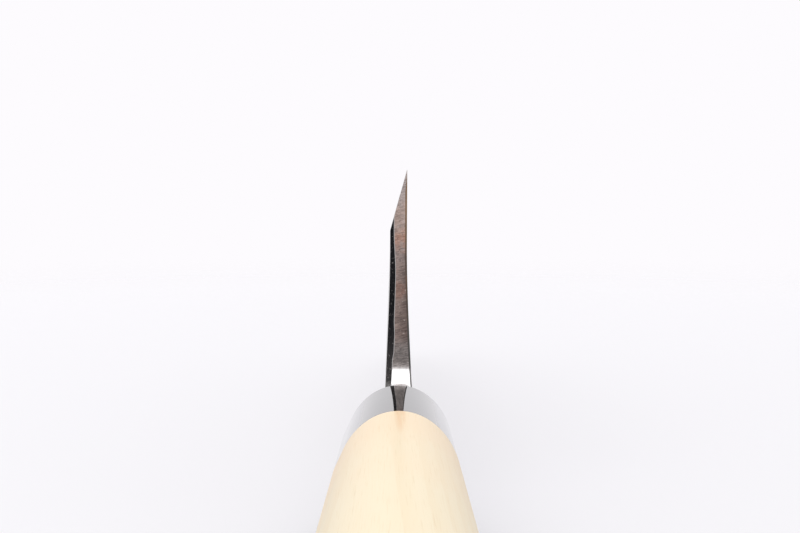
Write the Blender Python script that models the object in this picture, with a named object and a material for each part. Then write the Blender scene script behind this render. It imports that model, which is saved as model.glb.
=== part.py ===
"""Deba knife, 180 mm, right-handed, with a ho-wood handle.

Frame: the origin is the centre of the handle's butt face, +Y runs along the handle towards the tip,
+Z points to the cutting edge, and +X is the flat hollow-ground side (ura), so the bevelled side (omote)
is at -X.
Lengths are in metres.
"""

import math

import bmesh
import bpy

# Lengths along the knife
HANDLE_LENGTH = 0.135
FERRULE_LENGTH = 0.024
NECK_LENGTH = 0.0095
BLADE_LENGTH = 0.180
TANG_LENGTH = 0.092

# Side outline of the blade, heights from the handle's axis
EDGE_HEIGHT = 0.0506
SPINE_DEPTH = 0.0084
TIP_RISE = 0.012
EDGE_CURVE = 3.0
SPINE_CURVE = 3.0
NECK_TOP = 0.0095
CHOIL_RADIUS = 0.005

# Blade thickness
BEVEL_ANGLE = math.radians(15.5)
WAIST_THICKNESS = 0.0032
NECK_THICKNESS = 0.0056
FLARE_TOP = 0.0365
FLARE_BOTTOM = -0.003
FLARE_LENGTH = 0.030
SPINE_THICKNESS = 0.0052
SIDE_TAPER = 0.036
DISTAL_TAPER = 0.008

# Hard steel layer on the ura side
STEEL_LAYER = 0.0013
STEEL_START = 0.002
WELD_LINE = 0.00001

# Hollow grind of the ura and the flat land left round it
HOLLOW_DEPTH = 0.00035
HOLLOW_AT_HEEL = 0.2
HOLLOW_RUN_IN = 0.020
HOLLOW_RUN_OUT = 0.045
SPINE_LAND = 0.005
EDGE_LAND = 0.0025

# Chamfers of the blade's corners
OMOTE_CHAMFER = 0.00116
OMOTE_CHAMFER_AT_RIDGE = 0.0008
OMOTE_CHAMFER_EASE = 0.005
URA_CHAMFER = 0.00035
SPINE_CHAMFER = 0.0004

# Where the blade thins, its corners and the bevel's upper stretch keep these shares of what is left
SPINE_CHAMFER_SHARE = 0.2
URA_CHAMFER_SHARE = 0.3
EDGE_LAND_SHARE = 0.2
FACET_SHARE = 0.4

# Tang behind the neck's sloping shoulder, which lies inside the ferrule's slot
SHOULDER_IN_SLOT = 0.003
SHOULDER_SLOPE = 0.0014
TANG_TOP = 0.0070
TANG_DEPTH = 0.0064
TANG_THICKNESS = 0.0048
TANG_END_HALF_HEIGHT = 0.0030
TANG_END_THICKNESS = 0.0025

# Handle section at the ferrule's face, and its growth towards the butt
FRONT_HALF_WIDTH = 0.00976
FRONT_HALF_HEIGHT = 0.01175
WIDTH_TAPER = 0.0141
HEIGHT_TAPER = 0.0162
RIDGE_HEIGHT = 0.0005
RIDGE_RADIUS = 0.004
RIDGE_ANGLE = 0.20
BUTT_ROUNDING = 0.0018
FERRULE_ROUNDING = 0.0007

# Ferrule cup and the handle's tenon
FERRULE_WALL = 0.0022
FERRULE_FRONT = 0.005
TENON_CHAMFER = 0.0004
FIT_GAP = 0.0003
GLUE_LINE = 0.00003

# Fineness of the meshes
SECTION_POINTS = 96
ROUNDING_STEPS = 5
FILLET_STEPS = 5
BLADE_STEPS = 30
SIDE_HEIGHTS = 2
FLAT_HEIGHTS = 4
BEVEL_HEIGHTS = 3
URA_HEIGHTS = 7
HALVINGS = 40
MERGE_DISTANCE = 0.000001
SMOOTH_ANGLE = math.radians(25)

# Places along the handle's axis, worked out from the lengths above
FACE_Y = HANDLE_LENGTH
WOOD_LENGTH = HANDLE_LENGTH - FERRULE_LENGTH
HEEL_Y = FACE_Y + NECK_LENGTH
TIP_Y = HEEL_Y + BLADE_LENGTH
TANG_END_Y = FACE_Y - TANG_LENGTH
SHOULDER_Y = FACE_Y - SHOULDER_IN_SLOT
TANG_START_Y = SHOULDER_Y - SHOULDER_SLOPE
TENON_END_Y = FACE_Y - FERRULE_FRONT - FIT_GAP
FILLET_Y = HEEL_Y - CHOIL_RADIUS
FILLET_Z = NECK_TOP + CHOIL_RADIUS

# The blade's centre plane at the neck is the handle's, so the ura lies half the waist's thickness beside it
URA_X = WAIST_THICKNESS / 2
WELD_X = URA_X - STEEL_LAYER


def clear_scene():
    for item in list(bpy.data.objects):
        bpy.data.objects.remove(item, do_unlink=True)


def make_material(name, colour, roughness, metallic):
    material = bpy.data.materials.new(name)
    material.use_nodes = True
    shader = material.node_tree.nodes["Principled BSDF"]
    shader.inputs["Base Color"].default_value = (*colour, 1.0)
    shader.inputs["Roughness"].default_value = roughness
    shader.inputs["Metallic"].default_value = metallic
    material.diffuse_color = (*colour, 1.0)
    return material


def add_object(name, bm, material=None):
    """Turns a bmesh into a named object with outward faces, smooth where it is round."""
    bmesh.ops.remove_doubles(bm, verts=bm.verts, dist=MERGE_DISTANCE)
    bmesh.ops.recalc_face_normals(bm, faces=bm.faces)
    mesh = bpy.data.meshes.new(name)
    bm.to_mesh(mesh)
    bm.free()
    item = bpy.data.objects.new(name, mesh)
    bpy.context.scene.collection.objects.link(item)
    mesh.shade_smooth()
    mesh.set_sharp_from_angle(angle=SMOOTH_ANGLE)
    if material:
        mesh.materials.append(material)
    return item


def boolean(target, cutter, operation):
    """Combines the target with a cutter, which stays hidden."""
    cutter.hide_render = True
    cutter.display_type = "WIRE"
    modifier = target.modifiers.new(f"{operation.lower()} {cutter.name}", "BOOLEAN")
    modifier.operation = operation
    modifier.solver = "EXACT"
    modifier.object = cutter


def join_rings(bm, first, second):
    """Faces between two rings that have the same number of points."""
    count = len(first)
    for i in range(count):
        after = (i + 1) % count
        bm.faces.new((first[i], first[after], second[after], second[i]))


def loft(rings):
    """Closed skin over rings of points, with a flat cap on each end."""
    bm = bmesh.new()
    rows = [[bm.verts.new(point) for point in ring] for ring in rings]
    for first, second in zip(rows, rows[1:]):
        join_rings(bm, first, second)
    bm.faces.new(rows[0])
    bm.faces.new(rows[-1])
    return bm


def smooth_step(value):
    """Rises from 0 to 1 with level ends as the value goes from 0 to 1."""
    value = min(max(value, 0.0), 1.0)
    return value * value * (3.0 - 2.0 * value)


def mix(first, second, share):
    return first + (second - first) * share


# Handle section: an oval with a low rounded ridge on the omote side, for the fingers


def half_width(y):
    return FRONT_HALF_WIDTH + WIDTH_TAPER * (FACE_Y - y)


def half_height(y):
    return FRONT_HALF_HEIGHT + HEIGHT_TAPER * (FACE_Y - y)


def grip_ring(y, size_y, inset):
    """Points round the handle at y, with the outline that it has at size_y moved in by inset."""
    wide = half_width(size_y)
    tall = half_height(size_y)
    ridge_turn = math.pi - RIDGE_ANGLE
    ridge_out = 1.0 / math.hypot(math.cos(ridge_turn) / wide, math.sin(ridge_turn) / tall)
    ridge_out += RIDGE_HEIGHT - RIDGE_RADIUS
    ridge_x = ridge_out * math.cos(ridge_turn)
    ridge_z = ridge_out * math.sin(ridge_turn)
    ring = []
    for i in range(SECTION_POINTS):
        turn = math.tau * i / SECTION_POINTS
        normal_x = math.cos(turn)
        normal_z = math.sin(turn)
        oval_reach = math.hypot(wide * normal_x, tall * normal_z)
        ridge_reach = ridge_x * normal_x + ridge_z * normal_z + RIDGE_RADIUS
        x = wide * wide * normal_x / oval_reach
        z = tall * tall * normal_z / oval_reach
        if ridge_reach > oval_reach:
            x = ridge_x + RIDGE_RADIUS * normal_x
            z = ridge_z + RIDGE_RADIUS * normal_z
        ring.append((x - inset * normal_x, y, z - inset * normal_z))
    return ring


def rounded_end(y, towards, radius):
    """Rings of a rounded rim whose flat face is at y; towards is the side where the body lies."""
    rings = []
    for step in range(ROUNDING_STEPS + 1):
        turn = 0.5 * math.pi * step / ROUNDING_STEPS
        ring_y = y + towards * radius * (1.0 - math.cos(turn))
        rings.append(grip_ring(ring_y, ring_y, radius * (1.0 - math.sin(turn))))
    return rings


# Side outline of the blade


def along_blade(y):
    return min(max((y - HEEL_Y) / BLADE_LENGTH, 0.0), 1.0)


def spine_z(y):
    return -SPINE_DEPTH + TIP_RISE * along_blade(y) ** SPINE_CURVE


def edge_z(y):
    drop = EDGE_HEIGHT + SPINE_DEPTH - TIP_RISE
    return EDGE_HEIGHT - drop * along_blade(y) ** EDGE_CURVE


def blade_height(y):
    return edge_z(y) - spine_z(y)


def top_z(y):
    """Top of the neck, rising round the choil's fillet to the fillet's centre height at the heel."""
    return offset_top_z(y, 0.0)


def offset_top_z(y, inside):
    """The same line, moved into the metal."""
    if y <= FILLET_Y:
        return NECK_TOP - inside
    reach = min(y, HEEL_Y) - FILLET_Y
    radius = CHOIL_RADIUS + inside
    return FILLET_Z - math.sqrt(max(radius * radius - reach * reach, 0.0))


def depth_inside(y, z):
    """Distance from the outline of the choil, its fillet and the neck's top into the metal."""
    if y <= FILLET_Y:
        return NECK_TOP - z
    if z >= FILLET_Z:
        return y - HEEL_Y
    return math.hypot(y - FILLET_Y, z - FILLET_Z) - CHOIL_RADIUS


# Thickness of the blade and where its two sides lie


def choil_thickness(z):
    """The forging swells from the blade's waist to the neck."""
    share = smooth_step((FLARE_TOP - z) / (FLARE_TOP - FLARE_BOTTOM))
    return mix(WAIST_THICKNESS, NECK_THICKNESS, share)


def flare_left(y):
    """Share of the neck's swelling that is left at y: 1 at the heel, 0 past the flare."""
    return 1.0 - smooth_step((y - HEEL_Y) / FLARE_LENGTH)


def flat_thickness(y, z):
    """Thickness of the flat-sided part of the blade."""
    return SPINE_THICKNESS - SIDE_TAPER * (z + SPINE_DEPTH) - DISTAL_TAPER * (y - HEEL_Y)


def side_thickness(y, z):
    return mix(flat_thickness(y, z), choil_thickness(z), flare_left(y))


def bevel_thickness(y, z):
    return math.tan(BEVEL_ANGLE) * (edge_z(y) - z)


def ridge_line_z(y):
    """Height of the ridge between the bevel and the flat side, found by halving; the spine where it ends."""
    low = spine_z(y)
    high = edge_z(y)
    if bevel_thickness(y, low) <= side_thickness(y, low):
        return low
    for _ in range(HALVINGS):
        middle = 0.5 * (low + high)
        if bevel_thickness(y, middle) > side_thickness(y, middle):
            low = middle
        else:
            high = middle
    return low


def hollow(y, z):
    """Depth of the ura's hollow grind."""
    low = spine_z(y) + SPINE_LAND
    high = edge_z(y) - EDGE_LAND
    if z <= low or z >= high:
        return 0.0
    across = (2.0 * z - low - high) / (high - low)
    run_in = mix(HOLLOW_AT_HEEL, 1.0, smooth_step((y - HEEL_Y) / HOLLOW_RUN_IN))
    run_out = smooth_step((TIP_Y - y) / HOLLOW_RUN_OUT)
    return HOLLOW_DEPTH * (1.0 - across * across) * run_in * run_out


def neck_thickness(y, z):
    share = smooth_step((HEEL_Y - y) / NECK_LENGTH)
    return mix(choil_thickness(z), NECK_THICKNESS, share)


def omote_chamfer(z):
    """Width of the polished chamfer, narrower at the bevel's ridge."""
    share = smooth_step((ridge_line_z(HEEL_Y) - z) / OMOTE_CHAMFER_EASE)
    return mix(OMOTE_CHAMFER_AT_RIDGE, OMOTE_CHAMFER, share)


def omote_x(y, z):
    """Left side of the forging, with the chamfer of the choil and of the neck's top."""
    if y < HEEL_Y:
        surface = -0.5 * neck_thickness(y, z)
    else:
        surface = ura_flat_x(y, z) - min(bevel_thickness(y, z), side_thickness(y, z))
    ridge = ridge_line_z(HEEL_Y)
    chamfer = omote_chamfer(z) - depth_inside(y, z)
    if z > ridge:
        corner = URA_X - WAIST_THICKNESS
        return max(surface, corner + chamfer)
    return surface + max(chamfer, 0.0)


def ura_flat_x(y, z):
    """The ura without its hollow: a plane that swells near the neck."""
    return URA_X + 0.5 * (choil_thickness(z) - WAIST_THICKNESS) * flare_left(y)


def ura_x(y, z):
    """Right side of the forging, with its hollow and its small chamfer."""
    if y < HEEL_Y:
        return 0.5 * neck_thickness(y, z) - max(URA_CHAMFER - depth_inside(y, z), 0.0)
    widest = URA_CHAMFER_SHARE * bevel_thickness(y, z)
    chamfer = min(max(URA_CHAMFER - depth_inside(y, z), 0.0), widest)
    return ura_flat_x(y, z) - hollow(y, z) - chamfer


# Rings of the forging


def spread(low, high, count):
    """Heights evenly spaced above low, up to and with high."""
    return [mix(low, high, (i + 1) / count) for i in range(count)]


def spine_corner(y):
    """Size of the spine's chamfer, which fades with the blade at the tip."""
    return min(SPINE_CHAMFER, SPINE_CHAMFER_SHARE * bevel_thickness(y, spine_z(y)))


def lower_heights(y, chamfer):
    """Heights of one side from the spine's chamfer to the neck's top line."""
    start = spine_z(HEEL_Y) + SPINE_CHAMFER
    level_y = min(y, HEEL_Y)
    facet = offset_top_z(level_y, chamfer)
    heights = [start, spine_z(HEEL_Y) + SPINE_LAND]
    heights += spread(heights[-1], facet, SIDE_HEIGHTS)
    heights += [offset_top_z(level_y, 0.5 * chamfer), top_z(level_y)]
    if y <= HEEL_Y:
        return heights
    grown = blade_height(y) / blade_height(HEEL_Y)
    return [spine_z(y) + (z - spine_z(HEEL_Y)) * grown for z in heights]


def omote_heights(y):
    lowest = spine_z(y) + spine_corner(y)
    ridge = max(ridge_line_z(y), lowest)
    lower = [min(max(z, lowest), ridge) for z in lower_heights(y, OMOTE_CHAMFER)]
    facet_end = ridge + OMOTE_CHAMFER_AT_RIDGE / math.tan(BEVEL_ANGLE)
    facet_end = min(facet_end, mix(ridge, edge_z(y), FACET_SHARE))
    upper = spread(lower[-1], ridge, FLAT_HEIGHTS) + [facet_end]
    upper += spread(facet_end, edge_z(y), BEVEL_HEIGHTS)[:-1]
    return lower, upper


def ura_heights(y):
    lowest = spine_z(y) + spine_corner(y)
    lower = [max(z, lowest) for z in lower_heights(y, URA_CHAMFER)]
    land = min(EDGE_LAND, EDGE_LAND_SHARE * blade_height(y))
    return lower, spread(lower[-1], edge_z(y) - land, URA_HEIGHTS)


def side_points(y, heights, side):
    """Points of one side, from the spine's chamfer upwards."""
    corner = spine_corner(y)
    inwards = corner if side is omote_x else -corner
    foot = (side(y, spine_z(y) + corner) + inwards, y, spine_z(y))
    return [foot] + [(side(y, z), y, z) for z in heights]


def neck_ring(y):
    """Ring of the neck: up the ura side, then down the omote side."""
    right = side_points(y, lower_heights(y, URA_CHAMFER), ura_x)
    left = side_points(y, lower_heights(y, OMOTE_CHAMFER), omote_x)
    return right + left[::-1]


def tang_ring(y, bottom, top, thickness, points):
    """Rectangular ring with the neck ring's number of points."""
    side = points // 2
    heights = [mix(bottom, top, i / (side - 1)) for i in range(side)]
    right = [(0.5 * thickness, y, z) for z in heights]
    left = [(-0.5 * thickness, y, z) for z in heights]
    return right + left[::-1]


def blade_stations():
    """Places of the blade's rings: close at the heel's chamfers and at the tip."""
    near_heel = [HEEL_Y + URA_CHAMFER, HEEL_Y + OMOTE_CHAMFER]
    start = near_heel[-1]
    run = [mix(start, TIP_Y, math.sin(0.5 * math.pi * i / BLADE_STEPS)) for i in range(1, BLADE_STEPS)]
    return near_heel + run


def blade_ring(y):
    """Lower and upper parts of each side of a full blade ring, with the edge between them."""
    right_low, right_high = ura_heights(y)
    left_low, left_high = omote_heights(y)
    right = side_points(y, right_low + right_high, ura_x)
    left = side_points(y, left_low + left_high, omote_x)
    return right, (ura_flat_x(y, edge_z(y)), y, edge_z(y)), left


def forging_mesh():
    """Blade, neck and tang in one skin. The choil is the flat face where the blade's upper part begins."""
    bm = bmesh.new()
    fillet_turns = [0.5 * math.pi * i / FILLET_STEPS for i in range(FILLET_STEPS)]
    fillet_stations = [FILLET_Y + CHOIL_RADIUS * math.sin(turn) for turn in fillet_turns]
    neck_rings = [neck_ring(y) for y in [SHOULDER_Y, FACE_Y] + fillet_stations]
    count = len(neck_rings[0])
    tang_end = tang_ring(TANG_END_Y, -TANG_END_HALF_HEIGHT, TANG_END_HALF_HEIGHT, TANG_END_THICKNESS, count)
    tang_start = tang_ring(TANG_START_Y, -TANG_DEPTH, TANG_TOP, TANG_THICKNESS, count)
    rows = [[bm.verts.new(point) for point in ring] for ring in [tang_end, tang_start] + neck_rings]

    right, edge, left = blade_ring(HEEL_Y)
    low = count // 2
    right_verts = [bm.verts.new(point) for point in right]
    edge_vert = bm.verts.new(edge)
    left_verts = [bm.verts.new(point) for point in left]
    rows.append(right_verts[:low] + left_verts[:low][::-1])
    for first, second in zip(rows, rows[1:]):
        join_rings(bm, first, second)
    bm.faces.new(rows[0])
    bm.faces.new(right_verts[low - 1:] + [edge_vert] + left_verts[low - 1:][::-1])

    previous = right_verts + [edge_vert] + left_verts[::-1]
    for y in blade_stations():
        right, edge, left = blade_ring(y)
        ring = [bm.verts.new(point) for point in right + [edge] + left[::-1]]
        join_rings(bm, previous, ring)
        previous = ring
    tip = bm.verts.new((URA_X, TIP_Y, edge_z(TIP_Y)))
    for i, vert in enumerate(previous):
        bm.faces.new((vert, previous[(i + 1) % len(previous)], tip))
    return bm


# Cutters


def box_mesh(low, high):
    bm = bmesh.new()
    bmesh.ops.create_cube(bm, size=1.0)
    for vert in bm.verts:
        for axis in range(3):
            vert.co[axis] = mix(low[axis], high[axis], vert.co[axis] + 0.5)
    return bm


def steel_space(name, growth):
    """Room of the hard steel layer: all that lies on the ura side of the weld, from just behind the heel."""
    low = (WELD_X - growth, HEEL_Y - STEEL_START - growth, -EDGE_HEIGHT)
    high = (WELD_X + BLADE_LENGTH, TIP_Y + BLADE_LENGTH, 2.0 * EDGE_HEIGHT)
    return add_object(name, box_mesh(low, high))


def tang_space():
    """Bore for the tang, a clearance larger all round, and open through the tenon's end."""
    run = TANG_START_Y - TANG_END_Y
    past = (TENON_END_Y + FIT_GAP - TANG_END_Y) / run
    rings = []
    for y, share in ((TANG_END_Y - FIT_GAP, 0.0), (TENON_END_Y + FIT_GAP, past)):
        bottom = mix(-TANG_END_HALF_HEIGHT, -TANG_DEPTH, share) - FIT_GAP
        top = mix(TANG_END_HALF_HEIGHT, TANG_TOP, share) + FIT_GAP
        thickness = mix(TANG_END_THICKNESS, TANG_THICKNESS, share) + 2.0 * FIT_GAP
        rings.append(tang_ring(y, bottom, top, thickness, 4))
    return add_object("tang_space", loft(rings))


def slot_space():
    """Slot through the ferrule's front for the neck, a clearance larger all round."""
    reach = FERRULE_FRONT
    low = (-0.5 * NECK_THICKNESS - FIT_GAP, FACE_Y - FERRULE_FRONT - reach, -SPINE_DEPTH - FIT_GAP)
    high = (0.5 * NECK_THICKNESS + FIT_GAP, FACE_Y + reach, NECK_TOP + FIT_GAP)
    return add_object("slot_space", box_mesh(low, high))


def tenon_space():
    """Inside of the ferrule's cup, which takes the tenon."""
    back = WOOD_LENGTH - FERRULE_LENGTH
    front = FACE_Y - FERRULE_FRONT
    rings = [grip_ring(y, FACE_Y, FERRULE_WALL) for y in (back, front)]
    return add_object("tenon_space", loft(rings))


# The four pieces


def build_blade():
    iron = make_material("soft iron", (0.56, 0.55, 0.54), 0.35, 1.0)
    steel = make_material("hard steel", (0.68, 0.68, 0.68), 0.22, 1.0)
    body = add_object("blade_body", forging_mesh(), iron)
    layer = add_object("cutting_layer", forging_mesh(), steel)
    boolean(body, steel_space("steel_cut", WELD_LINE), "DIFFERENCE")
    boolean(layer, steel_space("steel_keep", 0.0), "INTERSECT")


def build_ferrule():
    resin = make_material("black resin", (0.012, 0.012, 0.013), 0.08, 0.0)
    back = WOOD_LENGTH + GLUE_LINE
    rings = [grip_ring(back, back, 0.0)] + rounded_end(FACE_Y, -1.0, FERRULE_ROUNDING)[::-1]
    ferrule = add_object("ferrule", loft(rings), resin)
    boolean(ferrule, tenon_space(), "DIFFERENCE")
    boolean(ferrule, slot_space(), "DIFFERENCE")


def build_handle():
    wood = make_material("ho wood", (0.85, 0.66, 0.42), 0.5, 0.0)
    tenon_inset = FERRULE_WALL + FIT_GAP
    rings = rounded_end(0.0, 1.0, BUTT_ROUNDING)
    rings.append(grip_ring(WOOD_LENGTH, WOOD_LENGTH, 0.0))
    rings.append(grip_ring(WOOD_LENGTH, FACE_Y, tenon_inset))
    rings.append(grip_ring(TENON_END_Y - TENON_CHAMFER, FACE_Y, tenon_inset))
    rings.append(grip_ring(TENON_END_Y, FACE_Y, tenon_inset + TENON_CHAMFER))
    handle = add_object("wood_handle", loft(rings), wood)
    boolean(handle, tang_space(), "DIFFERENCE")


clear_scene()
build_blade()
build_ferrule()
build_handle()
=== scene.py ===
"""Looks of a 180 mm deba knife: two forge-welded steels, a black resin ferrule and a ho-wood handle.

Frame: the origin is the centre of the handle's butt face, +Y runs to the tip, +Z to the cutting edge and
+X to the flat hollow-ground side (ura), so the bevelled side (omote) is at -X. Lengths are in metres.
"""

import logging
import math
from collections.abc import Callable, Sequence
from dataclasses import dataclass
from enum import Enum

import bmesh
import bpy
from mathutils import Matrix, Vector
from mathutils.geometry import delaunay_2d_cdt


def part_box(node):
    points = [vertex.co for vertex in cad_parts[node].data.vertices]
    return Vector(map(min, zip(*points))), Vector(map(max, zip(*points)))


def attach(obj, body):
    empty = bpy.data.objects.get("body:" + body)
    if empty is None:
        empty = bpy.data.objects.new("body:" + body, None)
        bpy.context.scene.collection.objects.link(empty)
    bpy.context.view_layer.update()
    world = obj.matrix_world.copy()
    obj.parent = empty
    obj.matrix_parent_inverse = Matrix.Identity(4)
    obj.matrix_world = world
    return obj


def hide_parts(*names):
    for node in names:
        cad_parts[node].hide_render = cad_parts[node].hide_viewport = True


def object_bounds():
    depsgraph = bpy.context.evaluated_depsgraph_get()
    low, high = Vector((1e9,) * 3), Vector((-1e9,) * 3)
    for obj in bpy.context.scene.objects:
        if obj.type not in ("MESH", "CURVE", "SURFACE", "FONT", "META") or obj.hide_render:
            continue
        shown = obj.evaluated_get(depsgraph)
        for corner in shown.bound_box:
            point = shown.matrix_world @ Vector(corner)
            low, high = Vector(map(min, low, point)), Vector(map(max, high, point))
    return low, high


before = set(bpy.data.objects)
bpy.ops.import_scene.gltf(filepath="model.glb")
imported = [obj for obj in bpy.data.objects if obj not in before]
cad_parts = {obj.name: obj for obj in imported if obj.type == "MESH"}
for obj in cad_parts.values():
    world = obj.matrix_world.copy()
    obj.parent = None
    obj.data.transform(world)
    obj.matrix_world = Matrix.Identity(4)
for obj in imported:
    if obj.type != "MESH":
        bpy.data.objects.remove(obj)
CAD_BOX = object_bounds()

log = logging.getLogger("deba knife")

Point = tuple[float, float, float]
Place = tuple[float, float]
Colour = tuple[float, float, float, float]
Tree = bpy.types.NodeTree
Socket = bpy.types.NodeSocket
Shade = Colour | Socket
Inputs = dict[int | str, object]
MM = 0.001
HALVINGS = 40
# Sockets of a Mix node for colours: the lower colour, the upper one and the result
MIX_UNDER, MIX_OVER, MIX_RESULT = 6, 7, 2
# Nearly all values of a detailed noise lie below this height, in a span of this width
NOISE_TOP, NOISE_SPAN = 0.72, 0.45


def linear(hex_colour: str) -> Colour:
    """Turns an sRGB hex colour into the linear colour that shaders take.

    Args:
        hex_colour: Six hex digits after a hash sign.

    Returns:
        Red, green, blue and alpha, from 0 to 1.
    """
    levels = [int(hex_colour[i:i + 2], 16) / 255.0 for i in (1, 3, 5)]
    red, green, blue = (v / 12.92 if v <= 0.04045 else ((v + 0.055) / 1.055) ** 2.4 for v in levels)
    return (red, green, blue, 1.0)


def per(size_mm: float) -> float:
    """Pattern scale, in repeats a metre, of a feature that is size_mm wide."""
    return 1.0 / (size_mm * MM)


def mix(first: float, second: float, share: float) -> float:
    """Value that lies the given share of the way from first to second."""
    return first + (second - first) * share


def smooth_step(value: float) -> float:
    """Rises from 0 to 1 with level ends as the value goes from 0 to 1."""
    value = min(max(value, 0.0), 1.0)
    return value * value * (3.0 - 2.0 * value)


def spaced(low: float, high: float, spacing: float) -> list[float]:
    """Values from low to short of high, about a spacing apart."""
    count = max(int(abs(high - low) / spacing), 1)
    return [mix(low, high, i / count) for i in range(count)]


def halve(low: float, high: float, is_low: Callable[[float], bool]) -> float:
    """Finds by halving where a test stops to hold.

    Args:
        low: Value at which the test holds.
        high: Value at which it doesn't.
        is_low: The test.

    Returns:
        The last value found at which it holds.
    """
    for _ in range(HALVINGS):
        middle = 0.5 * (low + high)
        if is_low(middle):
            low = middle
        else:
            high = middle
    return low


def feed(tree: Tree, node: bpy.types.Node, inputs: Inputs) -> None:
    """Links or sets a node's input sockets.

    Args:
        tree: Node tree that the node is in.
        node: The node.
        inputs: What feeds its sockets, by name or number: another node's socket, or a value.
    """
    for key, value in inputs.items():
        if isinstance(value, Socket):
            tree.links.new(value, node.inputs[key])
        else:
            node.inputs[key].default_value = value


def add_node(
    tree: Tree, kind: str, output: int | str, inputs: Inputs | None = None, **settings: object
) -> Socket:
    """Adds one shader node.

    Args:
        tree: Node tree that takes the node.
        kind: Blender's name for the kind of node, without the ShaderNode that it starts with.
        output: Name or number of the output socket that is wanted.
        inputs: What feeds its input sockets.
        **settings: The node's own properties.

    Returns:
        That output socket.
    """
    node = tree.nodes.new("ShaderNode" + kind)
    for name, value in settings.items():
        setattr(node, name, value)
    feed(tree, node, inputs or {})
    return node.outputs[output]


def blank_material(name: str) -> tuple[bpy.types.Material, Tree, bpy.types.Node]:
    """Makes a material that holds only a Principled shader.

    Args:
        name: Name of the material.

    Returns:
        The material, its node tree and its shader.
    """
    material = bpy.data.materials.new(name)
    material.use_nodes = True
    tree = material.node_tree
    return material, tree, tree.nodes["Principled BSDF"]


def put(name: str, data: bpy.types.ID) -> bpy.types.Object:
    """Adds an object to the scene.

    Args:
        name: Name of the object.
        data: Its mesh, lamp or camera.

    Returns:
        The object.
    """
    thing = bpy.data.objects.new(name, data)
    bpy.context.scene.collection.objects.link(thing)
    return thing


class Lay(Enum):
    """Direction of grinding or polishing lines, as how fast their pattern changes along X, Y and Z."""

    ALONG_BLADE = (1.0, 0.015, 1.0)
    UP_BLADE = (1.0, 1.0, 0.03)
    ACROSS = (0.15, 1.0, 1.0)


@dataclass(frozen=True)
class Layer:
    """Another colour on part of a surface.

    Attributes:
        colour: The colour.
    """

    colour: str

    def cover(self, tree: Tree, place: Socket) -> Socket:
        """How much of the colour shows at a place, from 0 to 1."""
        raise NotImplementedError

    def over(self, tree: Tree, place: Socket, under: Shade) -> Socket:
        """Lays the colour over another.

        Args:
            tree: Node tree of the material.
            place: Coordinates that the layer follows.
            under: Colour under it.

        Returns:
            The colour with the layer on it.
        """
        parts = {0: self.cover(tree, place), MIX_UNDER: under, MIX_OVER: linear(self.colour)}
        return add_node(tree, "Mix", MIX_RESULT, parts, data_type="RGBA")


@dataclass(frozen=True)
class Tint(Layer):
    """Patches of another colour.

    Attributes:
        share: How much of the surface they take, from 0 to 1.
        size_mm: Size of the patches.
        strength: How strong the colour gets, from 0 to 1.
        centre: Place that the patches keep to, if there is one.
        reach_mm: How far from there they go.
        edge: Softness of their edges, from 0 to 1.
    """

    share: float
    size_mm: float
    strength: float = 1.0
    centre: Point | None = None
    reach_mm: float = 3.0
    edge: float = 0.2

    def cover(self, tree: Tree, place: Socket) -> Socket:
        """How much the patches show at a place.

        Args:
            tree: Node tree of the material.
            place: Coordinates that the patches follow.

        Returns:
            Their share, from 0 to 1.
        """
        noise = add_node(
            tree, "TexNoise", "Fac",
            {"Vector": place, "Scale": per(self.size_mm), "Detail": 5.0, "Roughness": 0.6},
        )
        clear = NOISE_TOP - NOISE_SPAN * self.share
        cover = add_node(
            tree, "MapRange", "Result",
            {"Value": noise, "From Min": clear, "From Max": clear + self.edge, "To Max": self.strength},
        )
        if not self.centre:
            return cover
        away = add_node(tree, "VectorMath", "Value", {0: place, 1: self.centre}, operation="DISTANCE")
        reach = self.reach_mm * MM
        near = add_node(
            tree, "MapRange", "Result",
            {"Value": away, "From Min": reach, "From Max": 0.5 * reach}, interpolation_type="SMOOTHSTEP",
        )
        return add_node(tree, "Math", "Value", {0: cover, 1: near}, operation="MULTIPLY")


@dataclass(frozen=True)
class Band(Layer):
    """Band of a surface, from a place on, that has another colour.

    Attributes:
        start: Place along the axis at which it starts to show.
        full: Place at which it's full, above or below the other.
        axis: X, Y or Z.
        strength: How strong the colour gets, from 0 to 1.
    """

    start: float
    full: float
    axis: str = "Z"
    strength: float = 1.0

    def cover(self, tree: Tree, place: Socket) -> Socket:
        """How full the band is at a place, from 0 to 1."""
        along = add_node(tree, "SeparateXYZ", self.axis, {0: place})
        return add_node(
            tree, "MapRange", "Result",
            {"Value": along, "From Min": self.start, "From Max": self.full, "To Max": self.strength},
            interpolation_type="SMOOTHSTEP",
        )


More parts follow.
